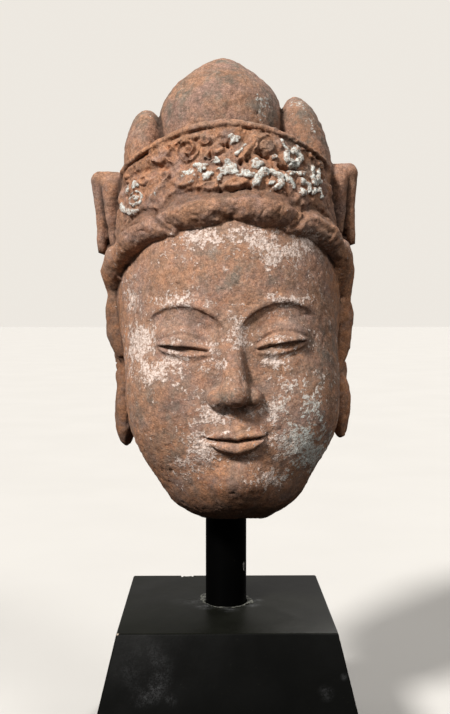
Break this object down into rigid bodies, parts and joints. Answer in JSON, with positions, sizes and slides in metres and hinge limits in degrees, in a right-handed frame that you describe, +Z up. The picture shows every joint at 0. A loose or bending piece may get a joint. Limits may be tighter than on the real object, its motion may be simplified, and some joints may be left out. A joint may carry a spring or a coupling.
{
  "type": "stone head sculpture on a stand",
  "caption": "Weathered sandstone head of a crowned bodhisattva with scrollwork, hair knot and long ears, on a round post over a black tapered block.",
  "frame": {"origin": "centre of the block's underside, on the surface it stands on", "axes": "+Z up, the face looks towards -Y, +X to the viewer's right"},
  "size_m": [0.2554, 0.2554, 0.6515],
  "materials": {
    "sandstone": "weathered, with remains of white ground",
    "black_steel": "satin black paint",
    "black_wood": "satin black paint"
  },
  "bodies": {
    "root": {"head": "sandstone", "rod": "black_steel", "base": "black_wood"}
  },
  "joints": []
}
